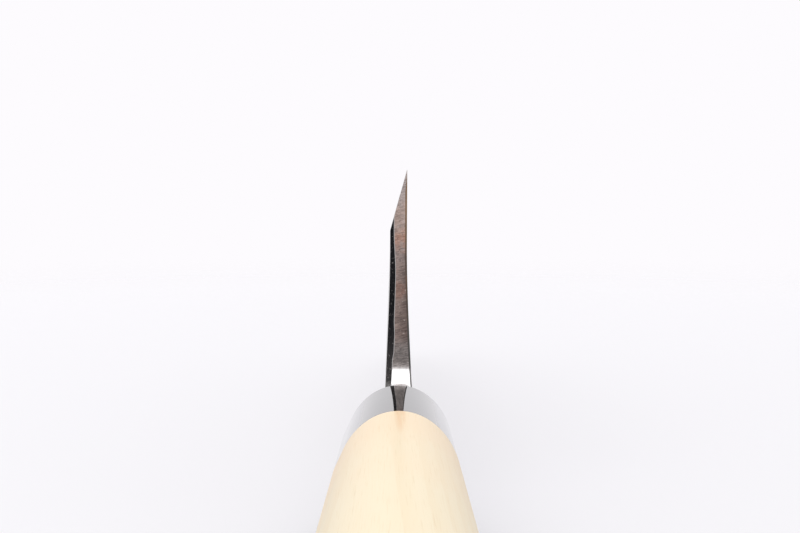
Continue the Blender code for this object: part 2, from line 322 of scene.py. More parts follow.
@dataclass(frozen=True)
class SteelFinish:
    """Abraded carbon steel: its lines come from the last grit, its colours from heat, air, handling and
    painted light.

    Attributes:
        name: Name of the material.
        colour: Clean metal, or darker metal where a dark reflection is painted in.
        layers: Patches and bands over it, from the lowest.
        lay: Direction of the lines.
        line_mm: Spacing of the lines, which are drawn coarser than the real 0.02 to 0.1 mm.
        line_depth_mm: Depth of the lines.
        line_shade: How much darker the lines are, from 0 to 1.
        roughness: Roughness between the lines and on them.
        tilt: Turn of the lines about Y, in degrees.
        polish_with_painted_highlight: Band where the lines have been polished out and the colour is painted
            paler as a highlight, if there is one.
        polish_roughness: Roughness of that band.
        dark_noise: Values of the lines' noise at which they are darkest and not dark.
        rough_noise: Values of it at which they are smooth and at which they are coarse.
    """

    name: str
    colour: str
    layers: tuple[Layer, ...]
    lay: Lay
    line_mm: float
    line_depth_mm: float
    line_shade: float
    roughness: tuple[float, float]
    tilt: float = 0.0
    polish_with_painted_highlight: Band | None = None
    polish_roughness: float = 0.16
    dark_noise: tuple[float, float] = (0.38, 0.6)
    rough_noise: tuple[float, float] = (0.7, 0.3)

    def lines(self, tree: Tree, place: Socket) -> Socket:
        """Noise that is drawn out into the lines of grinding or polishing.

        Args:
            tree: Node tree of the material.
            place: Coordinates that the lines follow.

        Returns:
            The noise, which is lowest in the lines.
        """
        turn = (0.0, math.radians(self.tilt), 0.0)
        turned = add_node(tree, "Mapping", "Vector", {"Vector": place, "Rotation": turn})
        stretch = [share * per(self.line_mm) for share in self.lay.value]
        stretched = add_node(tree, "VectorMath", "Vector", {0: turned, 1: stretch}, operation="MULTIPLY")
        return add_node(
            tree, "TexNoise", "Fac", {"Vector": stretched, "Scale": 1.0, "Detail": 4.0, "Roughness": 0.72}
        )

    def build(self) -> bpy.types.Material:
        """Makes the material.

        Returns:
            The material.
        """
        material, tree, shader = blank_material(self.name)
        place = add_node(tree, "TexCoord", "Object")
        lines = self.lines(tree, place)
        colour = linear(self.colour)
        for layer in self.layers:
            colour = layer.over(tree, place, colour)
        dark, plain = self.dark_noise
        shade = add_node(
            tree, "MapRange", "Result",
            {"Value": lines, "From Min": dark, "From Max": plain, "To Min": 1.0 - self.line_shade},
        )
        colour = add_node(
            tree, "Mix", MIX_RESULT,
            {0: 1.0, MIX_UNDER: colour, MIX_OVER: shade}, data_type="RGBA", blend_type="MULTIPLY",
        )
        low, high = self.rough_noise
        smooth, coarse = self.roughness
        rough = add_node(
            tree, "MapRange", "Result",
            {"Value": lines, "From Min": low, "From Max": high, "To Min": smooth, "To Max": coarse},
        )
        lined = 1.0
        # The polished band's paler colour is a painted highlight
        if self.polish_with_painted_highlight:
            share = self.polish_with_painted_highlight.cover(tree, place)
            colour = self.polish_with_painted_highlight.over(tree, place, colour)
            rough = add_node(
                tree, "Mix", "Result", {"Factor": share, "A": rough, "B": self.polish_roughness}
            )
            lined = add_node(tree, "Math", "Value", {0: 1.0, 1: share}, operation="SUBTRACT")
        bump = add_node(
            tree, "Bump", "Normal",
            {"Height": lines, "Strength": lined, "Distance": self.line_depth_mm * MM},
        )
        feed(tree, shader, {"Base Color": colour, "Roughness": rough, "Normal": bump, "Metallic": 1.0})
        return material


class Steel(Enum):
    """Finishes of the blade, in the order of its pieces' material slots."""

    # Choil dressed on a coarse wheel: dull mottled grey with short level lines, browned by the wheel's heat,
    # paler towards the edge as a painted reflection and duller towards the ura, lightened just above the
    # fillet as a painted highlight, over a fillet that is polished and painted near-white as a highlight
    CHOIL = SteelFinish(
        "steel, wheel-ground choil", "#9B8B85",
        (
            Tint("#85716F", 0.5, 2.6, 0.5),
            Tint("#A07A68", 0.3, 3.6, 0.5),
            Band("#5A4E4B", -0.0009, 0.0024, "X", 0.75),
            # Painted reflection: paler towards the edge
            Band("#B6ABA7", 0.030, 0.042),
            Band("#98928F", 0.0195, 0.0165, strength=0.85),
            # Painted highlight: lighter just above the fillet
            Band("#C4BEBC", 0.0146, 0.0133, strength=0.2),
            Tint("#B98A68", 0.95, 1.0, 0.25, (0.0024, 0.1445, 0.0410), 5.5),
            Tint("#BE866C", 0.95, 1.5, 0.5, (0.0012, 0.1445, 0.0372), 3.0),
            Tint("#9E786A", 0.95, 1.2, 0.5, (-0.0004, 0.1445, 0.0279), 2.2),
            Tint("#524A48", 0.36, 0.5, 0.5, edge=0.08),
            Tint("#D9D0CA", 0.24, 0.4, 0.5, edge=0.05),
        ),
        # The fillet's polished band is painted near-white as a highlight
        Lay.ACROSS, 0.2, 0.02, 0.5, (0.34, 0.46), tilt=13.0, polish_with_painted_highlight=Band("#F4F4F4", 0.01365, 0.0122),
    )
    # Chamfer with a painted dark reflection: near-black, greyer towards the neck, with faint lines down its
    # length and pale specks
    CHAMFER = SteelFinish(
        "steel, chamfer with painted dark reflection", "#1C1C1E",
        (
            Tint("#343333", 0.35, 1.8, 0.6),
            Band("#413F3E", 0.023, 0.011),
            Band("#807D7A", 0.0110, 0.0098),
            Tint("#B4B0AC", 0.19, 0.4, 0.8, edge=0.03),
        ),
        Lay.UP_BLADE, 0.25, 0.004, 0.5, (0.16, 0.3),
    )
    # Arris of the ura: a thin brown line darkened as a painted reflection, paler down at the polished fillet
    # as a painted highlight
    ARRIS = SteelFinish(
        "steel, browned arris with painted dark reflection", "#5E5148",
        (
            Tint("#4A4440", 0.4, 2.0),
            Tint("#7A5F4C", 0.3, 3.0),
            Band("#8D7257", 0.033, 0.040, strength=0.8),
            Band("#555350", 0.026, 0.019),
        ),
        Lay.UP_BLADE, 0.25, 0.004, 0.4, (0.24, 0.36), polish_with_painted_highlight=Band("#807E7C", 0.01355, 0.0124),
    )
    # Glint along the chamfer's inner border, where it was eased by hand: a pale hairline that is a painted
    # highlight
    GLINT = SteelFinish(
        "steel, eased arris glint", "#B2B0AE", (Tint("#96928E", 0.3, 6.0, 0.6),),
        Lay.ACROSS, 0.3, 0.001, 0.08, (0.16, 0.26),
    )
    # Soft iron of the bevel, stoned to a haze: matt and duller than the hard edge and the side beside it
    HAZE = SteelFinish(
        "soft iron, stone haze", "#AEADAB", (Tint("#9C9995", 0.35, 5.0, 0.5),),
        Lay.ALONG_BLADE, 0.2, 0.002, 0.1, (0.42, 0.52),
    )
    # Soft iron side, belt-finished along the blade: satin with long fine lines
    SIDE = SteelFinish(
        "soft iron, satin side", "#C8C7C4", (Tint("#B9B5B0", 0.35, 14.0, 0.5, edge=0.3),),
        Lay.ALONG_BLADE, 0.25, 0.002, 0.12, (0.24, 0.34),
    )
    # Hard steel honed on a fine stone: brighter and glossier than the haze
    HONED = SteelFinish(
        "hard steel, honed edge", "#D6D7D8", (Tint("#C6C6C6", 0.1, 6.0),),
        Lay.ALONG_BLADE, 0.15, 0.001, 0.05, (0.14, 0.2),
    )
    # Hollow ground on a large wheel: lines that run up the blade
    HOLLOW = SteelFinish(
        "hard steel, hollow ura", "#CFCFCE", (Tint("#BDBAB6", 0.3, 16.0, 0.6, edge=0.3),),
        Lay.UP_BLADE, 0.3, 0.002, 0.12, (0.22, 0.32),
    )
    # Spine left from the forge's grinder, with its corners eased
    SPINE = SteelFinish(
        "soft iron, ground spine", "#B9B6B2", (Tint("#958B82", 0.4, 9.0),),
        Lay.ALONG_BLADE, 0.3, 0.003, 0.15, (0.32, 0.42),
    )


@dataclass(frozen=True)
class BlackResin:
    """Cast polyester resin, turned and buffed like horn: black body under a clear mirror gloss."""

    colour: str = "#0B0B0C"
    ior: float = 1.56
    roughness: float = 0.05
    coat_weight: float = 0.7
    coat_roughness: float = 0.03
    wave_mm: float = 5.0
    wave_depth_mm: float = 0.006

    def build(self) -> bpy.types.Material:
        """Makes the material.

        Returns:
            The material.
        """
        material, tree, shader = blank_material("cast resin, buffed black")
        place = add_node(tree, "TexCoord", "Object")
        wave = add_node(
            tree, "TexNoise", "Fac", {"Vector": place, "Scale": per(self.wave_mm), "Detail": 1.0}
        )
        bump = add_node(tree, "Bump", "Normal", {"Height": wave, "Distance": self.wave_depth_mm * MM})
        feed(tree, shader, {
            "Base Color": linear(self.colour), "Roughness": self.roughness, "IOR": self.ior, "Normal": bump,
            "Coat Weight": self.coat_weight, "Coat Roughness": self.coat_roughness, "Coat Normal": bump,
        })
        return material


@dataclass(frozen=True)
class HoWood:
    """Ho wood (magnolia), sanded and unlacquered: pale, even, with faint rings and short fine pores.

    Attributes:
        name: Name of the material.
        pale: Early wood.
        ring: Late wood, at each ring's outer side.
        blush: Warmer wood towards the ferrule.
        pore: Wood in the pores.
        roughness: Roughness between the pores and in them.
        pith: Place of the tree's pith, from which the rings are counted.
        ring_mm: Width of a ring.
        ring_rise: Where in a ring's width the late wood starts and where it is full, from 0 to 1.
        ring_strength: How strongly the late wood shows.
        ring_stretch: What X, Y and Z are multiplied by for the rings, so that they run along Y.
        wander_mm: How far the rings stray.
        wander_size_mm: Length over which they stray, before wander_stretch.
        wander_stretch: What X, Y and Z are multiplied by for that.
        pore_mm: Width of a pore, drawn coarser than the real 0.1 mm.
        pore_stretch: How slowly the pores change along Y.
        pore_noise: Values of the pores' noise at which they start to show and are full.
        pore_strength: How strongly they show.
        rough_noise: Values of that noise at which the wood is smooth and coarse.
        pore_depth_mm: Depth of a pore.
        blush_y: Where the blush starts and where it is full.
        blush_mm: Size of the clouds that make it uneven.
        blush_stray: How far they move it along Y.
        painted_reflection: Painted reflection of the choil in the wood's sheen, a warm streak on top of the
            handle beside the ferrule.
        painted_reflection_spread: What X, Y and Z are multiplied by for it, so that it is drawn out along Y.
        ior: Index of refraction.
    """

    name: str
    pale: str
    ring: str
    blush: str
    pore: str
    roughness: tuple[float, float]
    pith: Point = (0.031, 0.0, -0.052)
    ring_mm: float = 2.0
    ring_rise: tuple[float, float] = (0.3, 0.97)
    ring_strength: float = 0.3
    ring_stretch: Point = (1.0, 0.03, 1.0)
    wander_mm: float = 3.0
    wander_size_mm: float = 25.0
    wander_stretch: Point = (1.0, 0.2, 1.0)
    pore_mm: float = 0.22
    pore_stretch: float = 0.03
    pore_noise: tuple[float, float] = (0.58, 0.8)
    pore_strength: float = 0.3
    rough_noise: tuple[float, float] = (0.3, 0.8)
    pore_depth_mm: float = 0.02
    blush_y: tuple[float, float] = (0.065, 0.112)
    blush_mm: float = 16.0
    blush_stray: float = 0.05
    # Painted reflection of the choil in the wood's sheen, on top of the handle beside the ferrule
    painted_reflection: Tint = Tint("#EDBE8C", 0.95, 4.0, 0.42, (0.0012, 0.0305, 0.0118), 5.5)
    painted_reflection_spread: Point = (5.0, 0.27, 1.0)
    ior: float = 1.45

    def bend(self, tree: Tree, place: Socket) -> Socket:
        """Makes coordinates that stray, so that rings and pores aren't straight.

        Args:
            tree: Node tree of the material.
            place: Straight coordinates.

        Returns:
            The coordinates.
        """
        drawn_out = add_node(
            tree, "VectorMath", "Vector", {0: place, 1: self.wander_stretch}, operation="MULTIPLY"
        )
        wander = add_node(
            tree, "TexNoise", "Color",
            {"Vector": drawn_out, "Scale": per(self.wander_size_mm), "Detail": 2.0},
        )
        centred = add_node(
            tree, "VectorMath", "Vector", {0: wander, 1: (0.5, 0.5, 0.5)}, operation="SUBTRACT"
        )
        stray = (self.wander_mm * MM, 0.0, self.wander_mm * MM)
        return add_node(
            tree, "VectorMath", "Vector", {0: centred, 1: stray, 2: place}, operation="MULTIPLY_ADD"
        )

    def rings(self, tree: Tree, bent: Socket) -> Socket:
        """Late wood of the rings round the pith.

        Args:
            tree: Node tree of the material.
            bent: Coordinates that the rings follow.

        Returns:
            Its share, from 0 to 1.
        """
        from_pith = add_node(tree, "VectorMath", "Vector", {0: bent, 1: self.pith}, operation="SUBTRACT")
        across = add_node(
            tree, "VectorMath", "Vector", {0: from_pith, 1: self.ring_stretch}, operation="MULTIPLY"
        )
        radius = add_node(tree, "VectorMath", "Value", {0: across}, operation="LENGTH")
        count = add_node(tree, "Math", "Value", {0: radius, 1: per(self.ring_mm)}, operation="MULTIPLY")
        phase = add_node(tree, "Math", "Value", {0: count}, operation="FRACT")
        start, full = self.ring_rise
        return add_node(
            tree, "MapRange", "Result",
            {"Value": phase, "From Min": start, "From Max": full, "To Max": self.ring_strength},
            interpolation_type="SMOOTHSTEP",
        )

    def blushing(self, tree: Tree, place: Socket) -> Socket:
        """How much the wood blushes: unevenly, and more towards the ferrule.

        Args:
            tree: Node tree of the material.
            place: Coordinates that the blush follows.

        Returns:
            Its share, from 0 to 1.
        """
        cloud = add_node(
            tree, "TexNoise", "Fac", {"Vector": place, "Scale": per(self.blush_mm), "Detail": 2.0}
        )
        forward = add_node(tree, "SeparateXYZ", "Y", {0: place})
        uneven = add_node(
            tree, "Math", "Value", {0: cloud, 1: self.blush_stray, 2: forward}, operation="MULTIPLY_ADD"
        )
        start, full = (y + 0.5 * self.blush_stray for y in self.blush_y)
        return add_node(
            tree, "MapRange", "Result",
            {"Value": uneven, "From Min": start, "From Max": full}, interpolation_type="SMOOTHSTEP",
        )

    def pores(self, tree: Tree, bent: Socket) -> Socket:
        """Noise of the pores, which is high in them."""
        scale = (per(self.pore_mm), self.pore_stretch * per(self.pore_mm), per(self.pore_mm))
        place = add_node(tree, "VectorMath", "Vector", {0: bent, 1: scale}, operation="MULTIPLY")
        return add_node(
            tree, "TexNoise", "Fac", {"Vector": place, "Scale": 1.0, "Detail": 2.0, "Roughness": 0.6}
        )

    def build(self) -> bpy.types.Material:
        """Makes the material.

        Returns:
            The material.
        """
        material, tree, shader = blank_material(self.name)
        place = add_node(tree, "TexCoord", "Object")
        bent = self.bend(tree, place)
        pores = self.pores(tree, bent)
        start, full = self.pore_noise
        in_pore = add_node(
            tree, "MapRange", "Result",
            {"Value": pores, "From Min": start, "From Max": full, "To Max": self.pore_strength},
        )
        spread = add_node(
            tree, "VectorMath", "Vector", {0: place, 1: self.painted_reflection_spread}, operation="MULTIPLY"
        )
        colour = linear(self.pale)
        for share, laid in (
            (self.rings(tree, bent), self.ring),
            (self.blushing(tree, place), self.blush),
            # Painted reflection of the choil, on top of the handle beside the ferrule
            (self.painted_reflection.cover(tree, spread), self.painted_reflection.colour),
            (in_pore, self.pore),
        ):
            colour = add_node(
                tree, "Mix", MIX_RESULT,
                {0: share, MIX_UNDER: colour, MIX_OVER: linear(laid)}, data_type="RGBA",
            )
        low, high = self.rough_noise
        smooth, coarse = self.roughness
        rough = add_node(
            tree, "MapRange", "Result",
            {"Value": pores, "From Min": low, "From Max": high, "To Min": smooth, "To Max": coarse},
        )
        bump = add_node(
            tree, "Bump", "Normal",
            {"Height": pores, "Strength": 0.6, "Distance": self.pore_depth_mm * MM}, invert=True,
        )
        feed(tree, shader, {"Base Color": colour, "Roughness": rough, "Normal": bump, "IOR": self.ior})
        return material


# Side grain: creamy, with faint rings and a peach blush towards the ferrule
SIDE_GRAIN = HoWood("ho wood, sanded side grain", "#F7E8CA", "#F1DCB8", "#F9E3C3", "#DCC298", (0.38, 0.5))
# End grain drinks light: darker, with the rings as arcs and the pores as dots
END_GRAIN = HoWood("ho wood, sawn end grain", "#E6CC9F", "#CFAB78", "#DDB98A", "#A98558", (0.65, 0.75))


def is_seen(tree: Tree) -> Socket:
    """Tells the light that the eye meets from the light that falls on matt surfaces.

    Args:
        tree: Node tree of the material or world.

    Returns:
        1 for what the camera, mirrors and glass see, and 0 otherwise.
    """
    seen = add_node(tree, "LightPath", "Is Camera Ray")
    for kind in ("Is Glossy Ray", "Is Transmission Ray"):
        ray = add_node(tree, "LightPath", kind)
        seen = add_node(tree, "Math", "Value", {0: seen, 1: ray}, operation="MAXIMUM")
    return seen


@dataclass(frozen=True)
class PaperFloor:
    """Studio paper that is seen near-white with a painted shade round the middle, keeps the shadow and fades
    out before a horizon shows.

    Attributes:
        colour: Colour of the paper.
        glow_colour: Colour of the glow that makes it look near-white.
        glow: Strength of the glow in the middle and from painted_shade_radius on; the weaker glow in the
            middle is a painted shade.
        painted_shade_radius: Distance from the middle at which the glow is full and the painted shade ends.
        fade_from: Distance at which the paper starts to fade.
        fade_to: Distance at which it has gone.
        roughness: Roughness of the paper.
    """

    colour: str = "#B4B4B6"
    glow_colour: str = "#FDFAFF"
    glow: tuple[float, float] = (0.43, 0.525)
    painted_shade_radius: float = 0.45
    fade_from: float = 0.25
    fade_to: float = 0.75
    roughness: float = 0.9

    def build(self) -> bpy.types.Material:
        """Makes the material.

        Returns:
            The material.
        """
        material, tree, shader = blank_material("white paper floor")
        place = add_node(tree, "TexCoord", "Object")
        distance = add_node(tree, "VectorMath", "Value", {0: place}, operation="LENGTH")
        # Painted shade: the glow is weaker near the middle, so the paper looks a little darker round the
        # knife
        near, far = self.glow
        glow = add_node(
            tree, "MapRange", "Result",
            {"Value": distance, "From Max": self.painted_shade_radius, "To Min": near, "To Max": far},
        )
        strength = add_node(tree, "Math", "Value", {0: is_seen(tree), 1: glow}, operation="MULTIPLY")
        opacity = add_node(
            tree, "MapRange", "Result",
            {"Value": distance, "From Min": self.fade_to, "From Max": self.fade_from},
            interpolation_type="SMOOTHSTEP",
        )
        feed(tree, shader, {
            "Base Color": linear(self.colour), "Roughness": self.roughness, "Alpha": opacity,
            "Emission Color": linear(self.glow_colour), "Emission Strength": strength,
        })
        return material


@dataclass
class Mesher:
    """Turns rings of points into named pieces."""

    merge: float = 1.0e-6
    sharp_angle: float = math.radians(12.0)

    def loft(self, rings: Sequence[Sequence[Point]]) -> bmesh.types.BMesh:
        """Makes a closed skin over rings of points, with a flat cap on each end.

        Args:
            rings: The rings, all with the same number of points.

        Returns:
            The skin.
        """
        bm = bmesh.new()
        rows = [[bm.verts.new(point) for point in ring] for ring in rings]
        for first, second in zip(rows, rows[1:]):
            for i in range(len(first)):
                after = (i + 1) % len(first)
                bm.faces.new((first[i], first[after], second[after], second[i]))
        bm.faces.new(rows[0])
        bm.faces.new(rows[-1])
        return bm

    def add(self, bm: bmesh.types.BMesh, name: str) -> bpy.types.Object:
        """Makes an object with its faces pointing out.

        Args:
            bm: Its faces, which are freed.
            name: Its name.

        Returns:
            The object.
        """
        bmesh.ops.remove_doubles(bm, verts=bm.verts, dist=self.merge)
        bmesh.ops.recalc_face_normals(bm, faces=bm.faces)
        mesh = bpy.data.meshes.new(name)
        bm.to_mesh(mesh)
        bm.free()
        return put(name, mesh)

    def combine(self, piece: bpy.types.Object, rings: Sequence[Sequence[Point]], operation: str) -> None:
        """Cuts a lofted space out of a piece, or keeps only what lies in it, and applies that.

        Args:
            piece: The piece to change.
            rings: Rings of the space.
            operation: DIFFERENCE or INTERSECT.
        """
        cutter = self.add(self.loft(rings), piece.name + "_cutter")
        modifier = piece.modifiers.new("cut", "BOOLEAN")
        modifier.operation = operation
        modifier.solver = "EXACT"
        modifier.object = cutter
        bpy.context.view_layer.update()
        evaluated = piece.evaluated_get(bpy.context.evaluated_depsgraph_get())
        mesh = bpy.data.meshes.new_from_object(evaluated)
        piece.modifiers.clear()
        piece.data = mesh
        bpy.data.objects.remove(cutter, do_unlink=True)

    def dress(
        self,
        piece: bpy.types.Object,
        materials: Sequence[bpy.types.Material],
        choose: Callable[[Vector, Vector], int],
    ) -> None:
        """Gives each face its material, and shades the piece smooth between its sharp edges.

        Args:
            piece: The piece to dress.
            materials: Its materials.
            choose: Gives a material's number from a face's centre and normal.
        """
        mesh = piece.data
        mesh.materials.clear()
        for material in materials:
            mesh.materials.append(material)
        bm = bmesh.new()
        bm.from_mesh(mesh)
        bm.normal_update()
        for face in bm.faces:
            face.material_index = choose(face.calc_center_median(), face.normal)
            face.smooth = True
        for edge in bm.edges:
            one_finish = len({face.material_index for face in edge.link_faces}) == 1
            edge.smooth = one_finish and edge.calc_face_angle(math.pi) < self.sharp_angle
        bm.to_mesh(mesh)
        bm.free()


@dataclass
class GripShape:
    """Outline of the handle: an oval with a low rounded ridge on the bevel's side, wider towards the butt."""

    face_y: float
    front_half_width: float = 9.76 * MM
    front_half_height: float = 11.75 * MM
    width_taper: float = 0.0141
    height_taper: float = 0.0162
    ridge_height: float = 0.5 * MM
    ridge_radius: float = 4.0 * MM
    ridge_angle: float = 0.20
    points: int = 288
    rounding_steps: int = 16
    straight: float = 0.05 * MM

    def ring(self, y: float, size_y: float, inset: float) -> list[Point]:
        """Places the points round the handle.

        Args:
            y: Where the ring lies.
            size_y: Place along the handle whose outline it has.
            inset: How far that outline is moved in.

        Returns:
            The ring's points.
        """
        wide = self.front_half_width + self.width_taper * (self.face_y - size_y)
        tall = self.front_half_height + self.height_taper * (self.face_y - size_y)
        turn = math.pi - self.ridge_angle
        reach = 1.0 / math.hypot(math.cos(turn) / wide, math.sin(turn) / tall)
        reach += self.ridge_height - self.ridge_radius
        ridge_x = reach * math.cos(turn)
        ridge_z = reach * math.sin(turn)
        ring = []
        for i in range(self.points):
            angle = math.tau * i / self.points
            out_x = math.cos(angle)
            out_z = math.sin(angle)
            oval = math.hypot(wide * out_x, tall * out_z)
            x = wide * wide * out_x / oval
            z = tall * tall * out_z / oval
            if ridge_x * out_x + ridge_z * out_z + self.ridge_radius > oval:
                x = ridge_x + self.ridge_radius * out_x
                z = ridge_z + self.ridge_radius * out_z
            ring.append((x - inset * out_x, y, z - inset * out_z))
        return ring

    def rounded_end(self, y: float, inwards: float, radius: float) -> list[list[Point]]:
        """Rings of a rounded rim, from its flat face to its full outline and a short straight beyond.

        Args:
            y: Place of the flat face.
            inwards: 1 or -1, the side of the face on which the body lies.
            radius: Radius of the rounding.

        Returns:
            The rings.
        """
        rings = []
        for step in range(self.rounding_steps + 1):
            turn = 0.5 * math.pi * step / self.rounding_steps
            ring_y = y + inwards * radius * (1.0 - math.cos(turn))
            rings.append(self.ring(ring_y, ring_y, radius * (1.0 - math.sin(turn))))
        straight_y = y + inwards * (radius + self.straight)
        return rings + [self.ring(straight_y, straight_y, 0.0)]


def rectangle(y: float, left: float, right: float, bottom: float, top: float) -> list[Point]:
    """Ring of four corners, square to Y."""
    return [(left, y, bottom), (right, y, bottom), (right, y, top), (left, y, top)]


@dataclass
class BladeShape:
    """Surfaces of the forging: outline, thickness, bevel, hollow, chamfers and tang."""

    face_y: float
    tip_y: float
    neck_length: float = 9.5 * MM
    edge_height: float = 50.6 * MM
    spine_depth: float = 8.4 * MM
    tip_rise: float = 12.0 * MM
    edge_curve: float = 3.0
    spine_curve: float = 3.0
    neck_top: float = 9.5 * MM
    choil_radius: float = 5.0 * MM
    bevel_slope: float = math.tan(math.radians(15.5))
    waist: float = 3.2 * MM
    neck: float = 5.6 * MM
    flare_top: float = 36.5 * MM
    flare_bottom: float = -3.0 * MM
    flare_length: float = 30.0 * MM
    spine: float = 5.2 * MM
    side_taper: float = 0.036
    distal_taper: float = 0.008
    steel: float = 1.3 * MM
    steel_start: float = 2.0 * MM
    weld_line: float = 0.01 * MM
    hollow_depth: float = 0.35 * MM
    hollow_at_heel: float = 0.2
    hollow_run_in: float = 20.0 * MM
    hollow_run_out: float = 45.0 * MM
    spine_land: float = 5.0 * MM
    edge_land: float = 2.5 * MM
    omote_chamfer: float = 1.16 * MM
    ridge_chamfer: float = 0.8 * MM
    chamfer_ease: float = 9.0 * MM
    chamfer_bulge: float = 0.2 * MM
    bulge_heights: tuple[float, float, float] = (16.3 * MM, 19.0 * MM, 22.5 * MM)
    glint: float = 0.1 * MM
    ura_chamfer: float = 0.35 * MM
    spine_chamfer: float = 0.4 * MM
    shoulder_in_slot: float = 3.0 * MM
    shoulder_slope: float = 1.4 * MM
    tang_length: float = 92.0 * MM
    tang_top: float = 7.0 * MM
    tang_depth: float = 6.4 * MM
    tang: float = 4.8 * MM
    tang_end_half_height: float = 3.0 * MM
    tang_end: float = 2.5 * MM
    hair: float = 1.0e-7
    # Largest shares of the bevel's thickness that the spine's corners and the ura's chamfer take
    corner_share: float = 0.2
    arris_share: float = 0.3

    def __post_init__(self) -> None:
        """Works out the places that the other methods share."""
        self.heel_y: float = self.face_y + self.neck_length
        self.ura_x: float = 0.5 * self.waist
        self.weld_x: float = self.ura_x - self.steel
        self.fillet_y: float = self.heel_y - self.choil_radius
        self.fillet_z: float = self.neck_top + self.choil_radius
        self.shoulder_y: float = self.face_y - self.shoulder_in_slot
        self.tang_start_y: float = self.shoulder_y - self.shoulder_slope
        self.tang_end_y: float = self.face_y - self.tang_length
        self.heel_ridge_z: float = self.ridge_z(self.heel_y)
        self.fade_z: float = self.heel_ridge_z + self.ridge_chamfer / self.bevel_slope

    def along(self, y: float) -> float:
        """Share of the blade's length that y lies past the heel."""
        return min(max((y - self.heel_y) / (self.tip_y - self.heel_y), 0.0), 1.0)

    def spine_z(self, y: float) -> float:
        """Height of the spine."""
        return -self.spine_depth + self.tip_rise * self.along(y) ** self.spine_curve

    def edge_z(self, y: float) -> float:
        """Height of the cutting edge."""
        drop = self.edge_height + self.spine_depth - self.tip_rise
        return self.edge_height - drop * self.along(y) ** self.edge_curve

    def tang_share(self, y: float) -> float:
        """Share of the way from the tang's end to its start."""
        return (y - self.tang_end_y) / (self.tang_start_y - self.tang_end_y)

    def shoulder_share(self, y: float) -> float:
        """Share of the way up the shoulder between the tang and the neck."""
        return min(max((y - self.tang_start_y) / self.shoulder_slope, 0.0), 1.0)

    def along_tang(self, y: float, end: float, start: float, neck: float, ahead: float) -> float:
        """A measure of the tang, of its shoulder or of what lies ahead of that.

        Args:
            y: Place along the knife.
            end: The measure at the tang's end.
            start: The measure where the shoulder starts.
            neck: The measure where the shoulder ends.
            ahead: The measure if y lies ahead of the shoulder.

        Returns:
            The measure at y.
        """
        if y < self.tang_start_y:
            return mix(end, start, self.tang_share(y))
        if y < self.shoulder_y:
            return mix(start, neck, self.shoulder_share(y))
        return ahead

    def bottom_z(self, y: float) -> float:
        """Lower outline of the spine, the neck and the tang."""
        end = -self.tang_end_half_height
        return self.along_tang(y, end, -self.tang_depth, -self.spine_depth, self.spine_z(y))

    def top_z(self, y: float) -> float:
        """Upper outline of the neck and the tang, up to the fillet."""
        return self.along_tang(y, self.tang_end_half_height, self.tang_top, self.neck_top, self.neck_top)

    def corner(self, y: float) -> float:
        """Size of the lower corners' chamfer, which fades at the tip and has gone where the tang starts."""
        thin = self.corner_share * self.bevel_thickness(y, self.spine_z(y))
        return self.shoulder_share(y) * min(self.spine_chamfer, thin)

    def low_z(self, y: float) -> float:
        """Lower end of each side, above the chamfered corner."""
        return self.bottom_z(y) + self.corner(y)

    def depth_inside(self, y: float, z: float) -> float:
        """Distance into the metal from the choil, its fillet or the neck's top.

        Args:
            y: Place along the knife.
            z: Height.

        Returns:
            The distance, which is negative outside.
        """
        if y <= self.fillet_y:
            return self.neck_top - z
        if z >= self.fillet_z:
            return y - self.heel_y
        return math.hypot(y - self.fillet_y, z - self.fillet_z) - self.choil_radius

    def choil_thickness(self, z: float) -> float:
        """Thickness at the heel, which swells from the waist to the neck."""
        share = smooth_step((self.flare_top - z) / (self.flare_top - self.flare_bottom))
        return mix(self.waist, self.neck, share)

    def flare_left(self, y: float) -> float:
        """Share of the neck's swelling that is left at y."""
        return 1.0 - smooth_step((y - self.heel_y) / self.flare_length)

    def side_thickness(self, y: float, z: float) -> float:
        """Thickness between the ura's plane and the flat side."""
        flat = self.spine - self.side_taper * (z + self.spine_depth) - self.distal_taper * (y - self.heel_y)
        return mix(flat, self.choil_thickness(z), self.flare_left(y))

    def bevel_thickness(self, y: float, z: float) -> float:
        """Thickness between the ura's plane and the bevel."""
        return self.bevel_slope * (self.edge_z(y) - z)

    def ridge_z(self, y: float) -> float:
        """Height of the ridge between the bevel and the flat side.

        Args:
            y: Place along the knife.

        Returns:
            The height, or that of the spine where the ridge has run out.
        """
        y = max(y, self.heel_y)
        low = self.spine_z(y)
        if self.bevel_thickness(y, low) <= self.side_thickness(y, low):
            return low
        return halve(low, self.edge_z(y), lambda z: self.bevel_thickness(y, z) > self.side_thickness(y, z))

    def ridge_end_y(self) -> float:
        """Place where the ridge runs out into the spine's corner."""
        return halve(self.heel_y, self.tip_y, lambda y: self.ridge_z(y) > self.low_z(y))

    def lands(self, y: float) -> tuple[float, float]:
        """Heights of the ura's land along the spine and of the one along the edge, where each ends."""
        return self.spine_z(y) + self.spine_land, self.edge_z(y) - self.edge_land

    def lands_end_y(self) -> float:
        """Place where the two lands meet."""
        lands = self.spine_land + self.edge_land
        return halve(self.heel_y, self.tip_y, lambda y: self.edge_z(y) - self.spine_z(y) > lands)

    def hollow(self, y: float, z: float) -> float:
        """Depth of the ura's hollow, which starts on the neck's end and runs out at the tip.

        Args:
            y: Place along the knife.
            z: Height.

        Returns:
            The depth.
        """
        low, high = self.lands(y)
        if z <= low or z >= high:
            return 0.0
        across = (2.0 * z - low - high) / (high - low)
        run_in = mix(self.hollow_at_heel, 1.0, smooth_step((y - self.heel_y) / self.hollow_run_in))
        run_in *= smooth_step(1.0 - (self.heel_y - y) / self.choil_radius)
        run_out = smooth_step((self.tip_y - y) / self.hollow_run_out)
        return self.hollow_depth * (1.0 - across * across) * run_in * run_out

